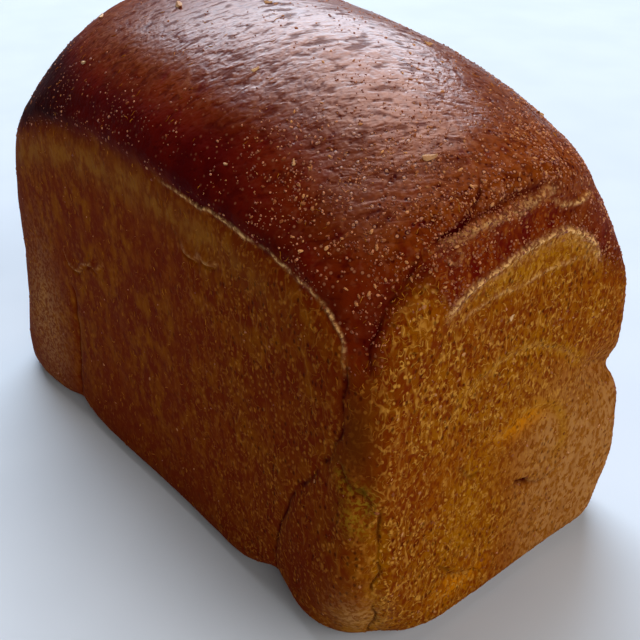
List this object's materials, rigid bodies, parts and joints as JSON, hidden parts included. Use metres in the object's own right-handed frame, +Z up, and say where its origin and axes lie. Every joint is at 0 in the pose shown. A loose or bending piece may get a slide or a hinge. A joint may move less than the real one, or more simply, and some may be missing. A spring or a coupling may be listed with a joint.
{
  "type": "wholemeal loaf",
  "caption": "Whole uncut tin loaf of wholemeal bread: flat walls where the dough met the tin, a domed glossy crust with a crack along the end, and a flat base to rest on.",
  "frame": {"origin": "centre of the bounding box's bottom face, on the plane that the loaf rests on", "axes": "+X along the length towards the end that shows in the picture, -Y towards the long side that shows, +Z up"},
  "size_m": [0.1908, 0.0984, 0.1374],
  "materials": {
    "crust": "baked wholemeal crust: glossy dark red-brown on the dome, satin golden brown on the walls, with fine pale bran specks"
  },
  "bodies": {
    "root": {"loaf": "crust"}
  },
  "joints": []
}
